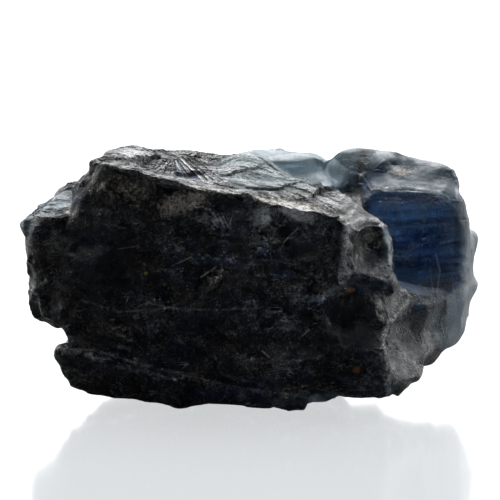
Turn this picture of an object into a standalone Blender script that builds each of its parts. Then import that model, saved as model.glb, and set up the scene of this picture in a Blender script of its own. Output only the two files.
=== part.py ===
"""Rough sapphire crystal: one dark, broken piece of corundum, 32.5 mm long.

The stone is blocked out from convex chunks, the way a broken crystal is made of
blocks that part along flat planes. The chunks are fused into one body, which gets
shell-shaped scoops, parting ledges and flaked facets, and a small flat spot to
rest on. X runs along the stone, Y to the back and Z up.
"""

import math

import bmesh
import bpy
from mathutils import Matrix, Vector, noise

NODE_NAME = "sapphire_crystal"
STONE_LENGTH = 0.0325  # metres, along X; everything else follows from it

# The lengths below are millimetres on the drawn stone, before it is fitted to that
FUSE_GRID = 0.2  # between the points of the fused surface
TRIANGLES = 9400

# Parting: the layers that the crystal splits along, nearly level
PARTING_NORMAL = Vector((0.10, 0.06, 1.0)).normalized()
LAYER_THICKNESS = 1.35
LAYER_STEP = 0.26  # how far one layer stands out beyond the next
LAYER_STEP_SPREAD = 7.7  # length along a layer over which it stands out alike
LAYER_WANDER = 0.45  # share of a layer by which the parting planes are bent
LAYER_WANDER_SPREAD = 9.1
LAYER_SEED_STEP = 5.7  # sets neighbouring layers apart in the noise
LAYER_TERRACE = 0.12  # how far level faces drop from one layer to the next

# Flakes: shallow tilted bowls that meet in sharp ridges, coarse to fine, each as
# its size, the depth and tilt of a bowl as shares of that, and a seed
FLAKES = (
    (4.2, 0.20, 0.18, 3.0),
    (1.9, 0.19, 0.18, 11.0),
    (0.9, 0.07, 0.07, 23.0),
)
FLAKE_STRETCH = Vector((0.78, 1.0, 1.2))  # flakes run along the parting
FLAKE_SEED_WAY = Vector((1.0, 1.7, 0.6))  # each seed moves the flakes this way
FLAKE_TILT_SEED = 9.1
FLAKE_MIDDLE = 0.1  # takes off what the flakes would add to the stone's size
GRAIN_SIZE = 0.6
GRAIN_HEIGHT = 0.05

# Each chunk is a convex block, given by its corners
CHUNKS = {
    "front_block": [
        (-10.9, -5.3, 16.3), (-9.9, -6.4, 17.1), (-8.4, -7.4, 16.85),
        (-5.7, -8.1, 16.25), (-0.9, -8.7, 15.5), (4.7, -9.2, 14.5),
        (6.5, -9.3, 14.0), (-9.9, 1.0, 17.1), (-8.0, 2.6, 16.95),
        (-5.1, 3.6, 16.8), (-1.9, 4.2, 15.9), (4.0, 2.5, 14.8),
        (6.9, -4.0, 14.6), (-12.1, -4.4, 15.0), (-12.4, -5.6, 12.8),
        (-12.6, -5.5, 5.2), (-11.8, -4.0, 3.4), (-8.4, -7.0, 2.0), (0.0, -8.4, 1.4),
        (6.5, -9.5, 1.3), (8.9, -9.6, 5.0), (6.6, -9.5, 9.4),
        (-11.1, 2.5, 14.2), (-11.0, 3.0, 4.0), (6.5, 3.0, 13.0),
        (7.0, 3.0, 3.0),
    ],
    "left_shoulder": [
        (-14.5, -4.2, 13.2), (-12.0, -5.5, 13.4), (-14.7, -1.5, 12.9),
        (-14.0, 0.0, 13.3), (-13.0, 1.0, 13.9), (-12.0, 0.6, 14.5),
        (-14.9, -2.9, 12.0), (-14.9, -3.9, 10.4), (-14.8, -3.9, 8.2),
        (-14.9, -3.9, 6.8), (-14.5, -4.4, 5.7), (-13.4, -4.9, 5.0),
        (-12.5, -5.9, 4.5), (-14.2, 3.5, 10.3), (-13.8, 3.4, 6.5),
        (-12.0, 5.0, 12.0), (-9.0, -5.2, 13.0), (-9.0, -5.2, 5.0),
        (-9.0, 4.5, 13.0), (-9.0, 4.5, 5.0),
    ],
    "left_spur": [
        (-16.0, -2.9, 12.35), (-15.1, -3.6, 13.1), (-15.1, -3.7, 11.7),
        (-15.0, -1.6, 12.4), (-14.0, -2.8, 12.9), (-14.0, -2.8, 11.2),
    ],
    "lower_ledge": [
        (-13.6, -5.8, 3.4), (-13.3, -6.0, 4.2), (-12.8, -6.0, 2.4),
        (-12.4, -6.4, 1.5), (-10.9, -7.0, 0.75), (-8.4, -7.6, 0.6),
        (-4.0, -8.4, 0.6), (0.8, -8.6, 0.5), (-8.3, -7.9, 3.3),
        (-1.4, -8.9, 2.1), (-11.3, 2.0, 4.0), (-9.5, 4.0, 1.3),
        (-11.0, -1.0, 1.0), (0.0, 2.0, 0.9), (0.0, 2.0, 3.5),
    ],
    "bottom_lip": [
        (0.0, -8.2, 0.9), (1.6, -8.2, 0.45), (3.6, -7.9, 0.3),
        (5.4, -8.3, 0.6), (6.6, -8.6, 1.3), (2.0, -8.9, 2.2),
        (5.6, -9.1, 2.4), (1.0, -5.0, 0.6), (6.0, -5.0, 0.9),
        (3.0, -4.0, 2.4),
    ],
    "front_bulge": [
        (-3.0, -8.6, 9.6), (2.0, -9.5, 9.4), (7.0, -10.0, 8.4),
        (8.4, -9.9, 6.6), (8.6, -9.9, 2.2), (3.0, -9.5, 1.5),
        (-2.0, -8.9, 3.0), (-4.5, -8.3, 6.4), (-3.0, -6.0, 9.8),
        (6.8, -6.0, 9.4), (8.0, -6.0, 1.6), (-2.0, -6.0, 2.0),
    ],
    "right_back_block": [
        (8.5, -1.1, 14.65), (13.3, -1.5, 14.6), (15.2, -1.1, 13.8),
        (15.1, -2.0, 9.1), (14.3, -2.6, 7.8), (10.8, -3.0, 7.8),
        (6.5, -2.4, 8.0), (7.4, 3.0, 16.1), (9.5, 3.0, 16.3),
        (11.4, 2.5, 16.0), (14.0, 2.0, 15.95), (15.0, 1.0, 15.2),
        (15.25, 0.0, 13.9), (7.4, 8.0, 14.4), (12.6, 6.8, 13.6),
        (14.4, 5.6, 8.0), (7.0, 8.0, 7.0), (13.9, -1.9, 3.8),
        (13.0, 4.5, 3.2), (7.0, 0.0, 3.0),
    ],
    "right_hump": [
        (6.1, 2.6, 16.5), (7.4, 3.0, 16.9), (8.9, 2.9, 16.6),
        (6.4, 0.8, 14.7), (9.4, 1.6, 15.8), (5.7, 5.6, 15.4),
        (8.4, 5.6, 15.4), (6.0, 2.0, 12.5), (10.0, 3.0, 12.5),
    ],
    "right_rim": [
        (15.6, 1.0, 12.1), (16.1, 3.0, 11.0), (16.2, 3.2, 6.9),
        (16.0, 3.0, 4.8), (15.3, 3.0, 3.4), (14.6, 1.4, 2.5), (12.4, -1.0, 2.9),
        (14.9, -1.9, 7.0), (15.2, -1.2, 4.6), (14.5, 6.2, 10.0),
        (14.2, 6.4, 5.0), (12.5, 6.0, 3.6), (11.0, 0.0, 9.0),
        (11.0, 5.0, 4.0), (12.0, 5.0, 11.5), (15.2, -0.4, 12.6),
    ],
    "corner_block": [
        (10.4, -6.0, 8.55), (11.1, -5.3, 7.75), (10.4, -7.0, 7.1),
        (9.4, -9.0, 6.55), (9.0, -10.0, 5.7), (9.1, -10.2, 4.4),
        (9.4, -10.0, 2.9), (9.5, -9.5, 1.75), (13.8, -2.0, 3.6),
        (12.1, -4.5, 3.0), (11.4, -6.0, 2.5), (10.6, -8.0, 1.9),
        (13.9, -2.8, 7.3), (11.2, -3.6, 8.1), (9.0, -9.3, 1.3),
        (7.6, -9.3, 1.2), (10.0, -4.5, 1.3), (13.0, -0.6, 2.3),
        (4.0, -8.0, 6.0), (4.0, -8.0, 1.5), (4.0, 2.0, 6.0),
        (5.0, 3.0, 1.8),
    ],
    "knob": [
        (6.7, -9.1, 13.8), (6.6, -9.4, 9.5), (7.9, -8.9, 13.2),
        (9.25, -6.7, 13.0), (9.8, -6.1, 11.3), (9.75, -6.3, 9.6),
        (9.0, -8.3, 10.4), (8.8, -8.6, 9.3), (9.1, -8.2, 12.0),
        (7.4, -6.2, 14.3), (6.9, -3.0, 14.4), (9.0, -3.0, 12.8),
        (5.0, -7.0, 13.0), (5.0, -7.0, 8.0), (9.4, -2.5, 9.0),
    ],
    "step_below_knob": [
        (6.6, -9.6, 9.2), (9.7, -7.6, 9.2), (10.2, -6.2, 8.9),
        (9.6, -8.4, 7.4), (8.9, -9.4, 6.4), (5.0, -9.4, 8.6),
        (5.0, -8.5, 5.0), (8.6, -9.3, 5.0), (9.0, -3.0, 9.3),
        (9.0, -3.0, 5.0), (5.0, -3.0, 9.0),
    ],
    "back_hump": [
        (-1.9, 6.0, 15.7), (-0.6, 6.5, 15.9), (1.3, 7.0, 16.25),
        (2.7, 7.0, 16.1), (4.5, 6.5, 15.9), (5.5, 5.4, 15.7),
        (-2.6, 4.0, 15.2), (0.5, 3.8, 15.0), (4.6, 3.2, 14.5),
        (6.4, 3.4, 14.6), (-2.4, 8.2, 13.0), (5.5, 8.4, 12.8),
        (-3.0, 3.0, 12.0), (6.0, 3.0, 12.0),
    ],
    "back_block": [
        (-13.0, 3.0, 4.4), (-12.2, 5.2, 10.8), (-10.6, 4.6, 14.2),
        (-6.5, 6.6, 14.9), (-3.0, 8.3, 12.8), (1.5, 9.4, 10.2),
        (7.5, 9.1, 10.8), (10.5, 8.2, 8.6), (12.2, 6.6, 4.9),
        (9.5, 6.2, 2.1), (0.5, 8.2, 2.4), (-8.0, 6.9, 3.0),
        (-11.0, 3.0, 2.4), (-6.0, -4.0, 3.0), (8.0, -4.0, 3.0),
        (-9.0, -3.0, 13.5), (6.0, 0.0, 13.0), (5.0, 8.3, 13.6),
    ],
    "web": [
        (5.0, -3.6, 12.6), (8.2, -3.0, 12.4), (9.4, -2.6, 8.0),
        (5.0, -4.0, 7.5), (5.0, 4.0, 14.9), (8.6, 6.8, 14.6),
        (3.0, 7.2, 14.8), (9.4, 3.0, 7.0), (5.0, 3.0, 7.0),
    ],
    "foot": [
        (-2.6, -3.9, -0.9), (0.6, -4.8, -0.9), (3.4, -4.2, -0.9),
        (4.4, -1.4, -0.9), (2.8, 2.6, -0.9), (-2.2, 3.0, -0.9),
        (-5.4, -5.8, 1.1), (3.4, -7.0, 1.1), (6.2, -6.0, 1.4),
        (9.0, -3.0, 2.2), (7.0, 5.0, 2.4), (-6.5, 5.6, 2.6),
    ],
}

# Scoops: centre of a ball of that radius, which takes a shell-shaped chip away
SCOOP_WOBBLE = 0.55  # how far a ball's surface strays from round
SCOOP_WOBBLE_SPREAD = 2.2
SCOOPS = [
    ((7.2, -12.0, 7.6), 3.4),  # dark hollow beside the front corner
    ((9.6, -9.2, 11.7), 2.3),  # face of the knob
    ((1.6, -13.6, 13.4), 4.8),  # under the front rim
    ((-1.7, -10.0, 14.3), 1.45),  # overhang of the rim
    ((-6.2, -12.0, 13.3), 4.3),  # upper left of the front face
    ((-9.6, -10.0, 8.6), 3.2),
    ((-8.4, -10.6, 4.6), 3.0),  # above the lower ledge
    ((2.2, -13.0, 5.0), 3.9),
    ((14.6, -9.6, 5.6), 5.1),  # right-hand end
    ((-2.6, 0.6, 25.4), 9.4),  # dish in the top
    ((-6.9, -6.3, 18.6), 1.9),  # small shell near the top's front rim
    ((-15.8, -8.0, 9.5), 3.7),  # left end
    ((-5.0, 13.6, 10.5), 6.2),  # back
    ((6.0, 14.4, 5.0), 6.0),
    ((-15.4, 8.4, 8.4), 5.2),
]

# Calm faces: centre, radius, and the share of the flakes that is kept there
CALM_EDGE = 0.33  # share of the radius over which the calm fades out
CALM_FACES = [
    ((11.5, -2.0, 11.0), 6.0, 0.25),  # flat face of the right-hand block
    ((-3.0, -2.0, 16.5), 9.0, 0.45),  # top plateau
    ((4.5, -5.0, 14.6), 5.0, 0.45),
    ((7.6, 3.2, 16.4), 3.0, 0.4),  # hump on the right-hand block
]


def clear_scene():
    for obj in list(bpy.data.objects):
        bpy.data.objects.remove(obj)


def new_collection(name):
    collection = bpy.data.collections.new(name)
    bpy.context.scene.collection.children.link(collection)
    return collection


def add_chunk(bm, corners):
    """Adds one convex block to the mesh, as its own closed shell."""
    shell = bmesh.new()
    for corner in corners:
        shell.verts.new(corner)
    made = bmesh.ops.convex_hull(shell, input=shell.verts)
    inside = {v for v in made["geom_interior"] if isinstance(v, bmesh.types.BMVert)}
    bmesh.ops.delete(shell, geom=list(inside), context="VERTS")
    bmesh.ops.recalc_face_normals(shell, faces=shell.faces)
    block = bpy.data.meshes.new("chunk")
    shell.to_mesh(block)
    shell.free()
    bm.from_mesh(block)
    bpy.data.meshes.remove(block)


def evaluated_mesh(obj, name):
    """The object's mesh with its modifiers applied, as a new mesh."""
    bpy.context.view_layer.update()
    graph = bpy.context.evaluated_depsgraph_get()
    mesh = bpy.data.meshes.new_from_object(obj.evaluated_get(graph))
    mesh.name = name
    return mesh


def fused_chunks(collection):
    """One closed surface round all the chunks, on an even grid."""
    bm = bmesh.new()
    for corners in CHUNKS.values():
        add_chunk(bm, corners)
    mesh = bpy.data.meshes.new("chunks")
    bm.to_mesh(mesh)
    bm.free()
    blocks = bpy.data.objects.new("chunks", mesh)
    collection.objects.link(blocks)
    fuse = blocks.modifiers.new("fuse", "REMESH")
    fuse.mode = "VOXEL"
    fuse.voxel_size = FUSE_GRID
    fused = evaluated_mesh(blocks, "fused")
    bpy.data.objects.remove(blocks)
    return fused


def ledge_offset(place, normal):
    """How far a point moves out where the layers part."""
    wander = LAYER_WANDER * noise.noise(place / LAYER_WANDER_SPREAD)
    layer = place.dot(PARTING_NORMAL) / LAYER_THICKNESS + wander
    whole = int(layer // 1)
    along = place / LAYER_STEP_SPREAD
    along.z = whole * LAYER_SEED_STEP
    side_step = LAYER_STEP * noise.noise(along)
    terrace = (whole + 0.5 - layer) * LAYER_THICKNESS * LAYER_TERRACE
    level = abs(normal.dot(PARTING_NORMAL))
    return side_step * (1.0 - level) + terrace * level * level


def flake_offset(place, size, bowl, tilt, seed):
    """How far out a point lies on the lowest of the bowls around it."""
    scaled = place * FLAKE_STRETCH / size + seed * FLAKE_SEED_WAY
    lowest = math.inf
    for centre in noise.voronoi(scaled)[1]:
        away = scaled - centre
        slope = noise.cell_vector(centre * FLAKE_TILT_SEED) * 2.0 - Vector((1.0, 1.0, 1.0))
        lowest = min(lowest, bowl * away.length_squared + tilt * slope.dot(away))
    return size * (lowest - FLAKE_MIDDLE * (bowl + tilt))


def calmness(place):
    """The share of the relief that a point keeps: flat parted faces keep little."""
    share = 1.0
    for centre, radius, kept in CALM_FACES:
        inside = 1.0 - min((place - Vector(centre)).length / radius, 1.0)
        share = min(share, 1.0 - (1.0 - kept) * min(inside / CALM_EDGE, 1.0))
    return share


def relief(place, normal):
    """Ledges, flakes and grain together, as a distance along the normal."""
    flakes = sum(flake_offset(place, *flake) for flake in FLAKES)
    grain = GRAIN_HEIGHT * noise.noise(place / GRAIN_SIZE)
    return ledge_offset(place, normal) + calmness(place) * flakes + grain


def scooped(place):
    """Pushes a point out of the balls that the scoops take away."""
    wobble = SCOOP_WOBBLE * noise.noise(place / SCOOP_WOBBLE_SPREAD)
    for centre, radius in SCOOPS:
        away = place - Vector(centre)
        if away.length < radius + wobble:
            place = Vector(centre) + away.normalized() * (radius + wobble)
    return place


def carve(mesh):
    """Moves every point of the fused surface by the relief and the scoops."""
    normals = [vertex.normal.copy() for vertex in mesh.vertices]
    for vertex, normal in zip(mesh.vertices, normals):
        place = scooped(vertex.co.copy())
        vertex.co = place + normal * relief(place, normal)


def thinned(mesh, collection):
    """The same surface with fewer, larger faces where it is flat."""
    obj = bpy.data.objects.new("thick", mesh)
    collection.objects.link(obj)
    mesh.calc_loop_triangles()
    decimate = obj.modifiers.new("thin", "DECIMATE")
    decimate.ratio = TRIANGLES / len(mesh.loop_triangles)
    decimate.use_collapse_triangulate = True
    thin = evaluated_mesh(obj, NODE_NAME)
    bpy.data.objects.remove(obj)
    return thin


def flatten_foot(bm):
    """Cuts the stone off flat at Z = 0, which leaves the spot that it rests on."""
    everything = bm.verts[:] + bm.edges[:] + bm.faces[:]
    cut = bmesh.ops.bisect_plane(
        bm,
        geom=everything,
        plane_co=(0, 0, 0),
        plane_no=(0, 0, -1),
        clear_outer=True,
    )
    rim = [e for e in cut["geom_cut"] if isinstance(e, bmesh.types.BMEdge)]
    bmesh.ops.holes_fill(bm, edges=rim, sides=0)
    bmesh.ops.triangulate(bm, faces=bm.faces[:])
    bmesh.ops.recalc_face_normals(bm, faces=bm.faces[:])


def fit_to_size(bm):
    """Scales to the stone's length, with the middle of its box over the origin."""
    xs = [v.co.x for v in bm.verts]
    ys = [v.co.y for v in bm.verts]
    middle = Vector(((min(xs) + max(xs)) / 2, (min(ys) + max(ys)) / 2, 0))
    scale = Matrix.Scale(STONE_LENGTH / (max(xs) - min(xs)), 4)
    fitted = scale @ Matrix.Translation(-middle)
    bmesh.ops.transform(bm, matrix=fitted, verts=bm.verts[:])


def sapphire_material():
    material = bpy.data.materials.new("dark_sapphire")
    material.use_nodes = True
    shader = material.node_tree.nodes["Principled BSDF"]
    shader.inputs["Base Color"].default_value = (0.012, 0.018, 0.035, 1)
    shader.inputs["Roughness"].default_value = 0.35
    shader.inputs["Metallic"].default_value = 0.0
    shader.inputs["IOR"].default_value = 1.77
    return material


def build():
    clear_scene()
    helpers = new_collection("helpers")
    stone_parts = new_collection(NODE_NAME)
    fused = fused_chunks(helpers)
    carve(fused)
    mesh = thinned(fused, helpers)
    bm = bmesh.new()
    bm.from_mesh(mesh)
    flatten_foot(bm)
    fit_to_size(bm)
    bm.to_mesh(mesh)
    bm.free()
    stone = bpy.data.objects.new(NODE_NAME, mesh)
    mesh.materials.append(sapphire_material())
    stone_parts.objects.link(stone)


build()
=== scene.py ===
import functools
import itertools
import math
import time

import bmesh
import bpy
import numpy as np
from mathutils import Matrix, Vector
from mathutils.bvhtree import BVHTree


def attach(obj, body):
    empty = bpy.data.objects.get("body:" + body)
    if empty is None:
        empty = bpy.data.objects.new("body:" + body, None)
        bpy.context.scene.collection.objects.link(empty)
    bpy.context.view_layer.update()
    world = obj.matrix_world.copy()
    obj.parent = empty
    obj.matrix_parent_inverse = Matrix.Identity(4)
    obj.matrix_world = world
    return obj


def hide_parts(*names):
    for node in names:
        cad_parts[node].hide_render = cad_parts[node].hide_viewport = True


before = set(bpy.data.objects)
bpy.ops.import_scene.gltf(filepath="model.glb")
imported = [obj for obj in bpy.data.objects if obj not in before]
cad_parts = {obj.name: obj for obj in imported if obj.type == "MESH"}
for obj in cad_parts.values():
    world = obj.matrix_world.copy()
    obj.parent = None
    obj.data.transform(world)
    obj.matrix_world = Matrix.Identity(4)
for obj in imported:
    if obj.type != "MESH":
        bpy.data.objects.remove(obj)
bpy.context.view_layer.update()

started = time.perf_counter()
mm = 0.001  # the stone is shaped in millimetres and put back in metres at the end


def report(stage):
    print(f"{time.perf_counter() - started:6.1f} s  {stage}")


# Camera: the photograph is taken from the front, a little above the stone
view = {
    "distance": 0.25,
    "elevation": 10.0,
    "target": (-0.00014, 0.0, 0.01015),
    "frameWidth": 0.03512,  # metres seen across the picture at the target
    "imageSize": 500,
    "sensor": 36.0,
}


def viewAxes():
    tilt = math.radians(view["elevation"])
    forward = np.array((0.0, math.cos(tilt), -math.sin(tilt)))
    upward = np.array((0.0, math.sin(tilt), math.cos(tilt)))
    eye = np.array(view["target"]) - view["distance"] * forward
    return eye, forward, upward


# Picture points for each unit of slope, and the picture's middle
def pictureScale():
    return view["imageSize"] * view["distance"] / view["frameWidth"], view["imageSize"] / 2


# x and y in the picture of points given in millimetres
def pictureSpots(places):
    eye, forward, upward = viewAxes()
    zoom, middle = pictureScale()
    away = places * mm - eye
    depth = away @ forward
    return middle + zoom * away[:, 0] / depth, middle - zoom * (away @ upward) / depth


def addObject(name, data):
    made = bpy.data.objects.new(name, data)
    bpy.context.scene.collection.objects.link(made)
    return made


def makeCamera():
    lens = bpy.data.cameras.new("camera")
    lens.sensor_width = view["sensor"]
    lens.lens = view["sensor"] * view["distance"] / view["frameWidth"]
    lens.clip_start, lens.clip_end = 0.01, 20.0
    camera = addObject("camera", lens)
    camera.location = viewAxes()[0]
    camera.rotation_euler = (math.radians(90.0 - view["elevation"]), 0.0, 0.0)
    bpy.context.scene.camera = camera


makeCamera()
report("camera")


# Mesh arrays
def readTable(items, key, width, kind=np.float32):
    flat = np.empty(len(items) * width, kind)
    items.foreach_get(key, flat)
    return flat.reshape(-1, width)


def readPoints(mesh):
    return readTable(mesh.vertices, "co", 3).astype(float)


def readNormals(mesh):
    return readTable(mesh.vertex_normals, "vector", 3).astype(float)


def readEdges(mesh):
    return readTable(mesh.edges, "vertices", 2, np.int32)


def writePoints(mesh, places):
    mesh.vertices.foreach_set("co", places.astype(np.float32).ravel())
    mesh.update()


def writeMasks(mesh, masks):
    for name, values in masks.items():
        mask = mesh.attributes.get(name) or mesh.attributes.new(name, "FLOAT", "POINT")
        mask.data.foreach_set("value", values.astype(np.float32))


# Values averaged with their neighbours over the surface, round after round
def eased(edges, values, rounds, share=0.6):
    count = len(values)
    start, end = edges[:, 0], edges[:, 1]
    around = np.bincount(start, minlength=count) + np.bincount(end, minlength=count)
    around = np.maximum(around, 1)
    table = values.reshape(count, -1).astype(float)
    for _ in range(rounds):
        for column in range(table.shape[1]):
            line = table[:, column]
            total = np.bincount(start, line[end], count) + np.bincount(end, line[start], count)
            table[:, column] = line + share * (total / around - line)
    return table.reshape(values.shape)


def step(low, high, values):
    share = np.clip((values - low) / (high - low), 0.0, 1.0)
    return share * share * (3.0 - 2.0 * share)


# The stone's body: the CAD solid's form, on a fine even grid
stoneShape = {
    "voxel": 0.105,
    "softening": 9,  # rounds that take the flat triangles out of the form
    "calmSoftening": 100,  # the same on the smooth back hump, block top and right end
    "triangles": 190000,
    "chips": [  # size, bowl, block, tilt, seed: shallow shells and flat-sided steps
        (3.2, 0.13, 0.0, 0.14, 5),
        (1.9, 0.0, 0.24, 0.06, 17),
        (0.9, 0.0, 0.28, 0.08, 29),
        (0.42, 0.0, 0.20, 0.06, 41),
    ],
    "topChips": [  # the same on the top, drawn out along its fibres
        (3.4, 0.17, 0.0, 0.19, 71),
        (1.7, 0.16, 0.0, 0.18, 72),
        (0.80, 0.15, 0.0, 0.17, 73),
    ],
    "drawnOut": 1.7,
    "planes": [  # the ways that the crystal parts, across which a block's sides run
        (0.10, 0.06, 0.993),
        (0.52, 0.83, -0.20),
        (0.83, -0.55, 0.12),
    ],
    "planeShare": (1.0, 0.8, 0.65),
}


# The object with its modifiers applied, as a new object with none
def plainCopy(obj, name):
    bpy.context.view_layer.update()
    graph = bpy.context.evaluated_depsgraph_get()
    mesh = bpy.data.meshes.new_from_object(obj.evaluated_get(graph))
    mesh.name = name
    bpy.data.objects.remove(obj)
    return addObject(name, mesh)


def mergedCopy(node, name):
    bm = bmesh.new()
    bm.from_mesh(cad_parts[node].data)
    bmesh.ops.remove_doubles(bm, verts=bm.verts[:], dist=1e-7)
    bmesh.ops.scale(bm, vec=Vector((1, 1, 1)) / mm, verts=bm.verts[:])
    mesh = bpy.data.meshes.new(name)
    bm.to_mesh(mesh)
    bm.free()
    return addObject(name, mesh)


# Where the smooth and the clear parts begin and where they are whole, in mm, or as how far up they face
calmZones = {
    "humpBack": (2.2, 3.8), "humpSide": (-3.2, -1.6), "humpUp": (0.1, 0.5),
    "blockSide": (6.0, 8.0), "blockUp": (0.4, 0.7), "endSide": (12.4, 13.8),
    "notchLeft": (2.2, 3.6), "notchRight": (8.0, 7.0), "notchBack": (0.6, 1.8), "notchHigh": (9.5, 11.0),
}
clearZones = {
    "humpBack": (2.8, 4.4), "humpLeft": (-3.4, -1.8), "humpHigh": (9.4, 11.6), "humpRight": (8.0, 6.6),
    "blockLeft": (7.2, 8.2), "blockFront": (-4.8, -4.0), "blockHigh": (6.2, 7.4),
    "endLeft": (12.4, 13.6), "endLow": (7.6, 6.4), "stripLeft": (13.2, 13.9), "stripHigh": (7.0, 8.0),
}
humpTurn = 0.35  # how much the hump's front edge turns away to the right


# 1 on the smooth back hump, the block's top and the right end
def calmPlaces(places, normals):
    zone, up = calmZones, normals[:, 2]
    x, y, z = places.T
    hump = step(*zone["humpBack"], y + humpTurn * x) * step(*zone["humpSide"], x) * step(*zone["humpUp"], up)
    blockTop = step(*zone["blockSide"], x) * step(*zone["blockUp"], up)
    rightEnd = 0.8 * step(*zone["endSide"], x)
    notch = step(*zone["notchLeft"], x) * step(*zone["notchRight"], x) * step(*zone["notchBack"], y)
    notch *= step(*zone["notchHigh"], z)
    return np.maximum.reduce((hump, blockTop, rightEnd, notch))


# 1 on the pale strip down the right end
def paleStrip(places):
    reach = places[:, 0] - 1.1 * step(*clearZones["stripHigh"], places[:, 2]) + 0.3 * wander(places, 1.2, 82)
    return step(*clearZones["stripLeft"], reach)


# How far into the clear parts a place lies: the blue block, and the paler hump and right end
def clearShares(places):
    edge = 0.9 * wander(places, 2.2, 81) + 0.35 * wander(places, 0.7, 83)
    zone = clearZones
    x, y, z = places.T
    hump = step(*zone["humpBack"], y + humpTurn * x + edge) * step(*zone["humpLeft"], x + edge)
    hump = hump * step(*zone["humpHigh"], z + edge) * step(*zone["humpRight"], x + edge)
    block = step(*zone["blockLeft"], x + edge) * step(*zone["blockFront"], y + edge)
    block *= step(*zone["blockHigh"], z + 0.3 * edge)
    rightEnd = step(*zone["endLeft"], x + edge) * step(*zone["endLow"], z)
    return block, np.maximum.reduce((hump, rightEnd, paleStrip(places)))


# 1 on the blue block, 2 on the paler parts, 0 elsewhere
def clearPlaces(places):
    block, pale = clearShares(places)
    return np.where(pale > 0.4, 2.0, np.where(block > 0.4, 1.0, 0.0))


def fineBody():
    body = mergedCopy("sapphire_crystal", "body")
    remesh = body.modifiers.new("grid", "REMESH")
    remesh.mode = "VOXEL"
    remesh.voxel_size = stoneShape["voxel"]
    body = plainCopy(body, "body")
    edges = readEdges(body.data)
    places = eased(edges, readPoints(body.data), stoneShape["softening"])
    soft = calmPlaces(places, readNormals(body.data))[:, None]
    places += soft * (eased(edges, places, stoneShape["calmSoftening"]) - places)
    writePoints(body.data, places)
    return body


# Node trees
def feed(tree, socket, value):
    if isinstance(value, bpy.types.NodeSocket):
        tree.links.new(value, socket)
    else:
        socket.default_value = value


# Adds a node, sets its settings, and feeds its inputs by name, or by number after a _
def put(tree, kind, settings=None, **inputs):
    made = tree.nodes.new(kind)
    for key, value in (settings or {}).items():
        setattr(made, key, value)
    for key, value in inputs.items():
        feed(tree, made.inputs[int(key[1:]) if key[0] == "_" else key.replace("_", " ")], value)
    return made


def calc(tree, operation, *values):
    inputs = {f"_{index}": value for index, value in enumerate(values)}
    return put(tree, "ShaderNodeMath", {"operation": operation}, **inputs).outputs[0]


# Functions that take any number of values, two at a time
def mathsFor(tree):
    def chained(operation, *values):
        return functools.reduce(lambda total, value: calc(tree, operation, total, value), values)
    return [functools.partial(chained, name) for name in ("MULTIPLY", "ADD", "SUBTRACT", "MAXIMUM", "DIVIDE")]


def vectorCalc(tree, operation, *values):
    slots = ("_0", "_3" if operation == "SCALE" else "_1")
    made = put(tree, "ShaderNodeVectorMath", {"operation": operation}, **dict(zip(slots, values)))
    return made.outputs["Value" if operation in ("DOT_PRODUCT", "LENGTH") else "Vector"]


def dot(tree, one, other):
    return vectorCalc(tree, "DOT_PRODUCT", one, other)


# How far a value lies from another
def gap(tree, one, other):
    return calc(tree, "ABSOLUTE", calc(tree, "SUBTRACT", one, other))


def remap(tree, value, low, high, newLow=0.0, newHigh=1.0):
    return put(tree, "ShaderNodeMapRange", {"interpolation_type": "SMOOTHSTEP"},
               _0=value, _1=low, _2=high, _3=newLow, _4=newHigh).outputs[0]


def noiseOf(tree, vector, scale, detail=2.0, roughness=0.5):
    return put(tree, "ShaderNodeTexNoise", Vector=vector, Scale=scale, Detail=detail,
               Roughness=roughness).outputs[0]


reliefSizes = {  # millimetres
    "Ledge Spacing": 2.3,
    "Ledge Height": 0.18,
    "Sliver Spacing": 1.1,
    "Sliver Height": 0.10,
    "Fibre Size": 0.36,
    "Fibre Height": 0.075,
    "Grain Size": 0.26,
    "Grain Height": 0.022,
    "Seed": 4.0,
}
partingWay = (0.10, 0.06, 0.993)
fibreWay = (0.43, 0.90, 0.0)  # across the fibres on the top
fibreRun = (0.90, -0.43, 0.0)


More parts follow.
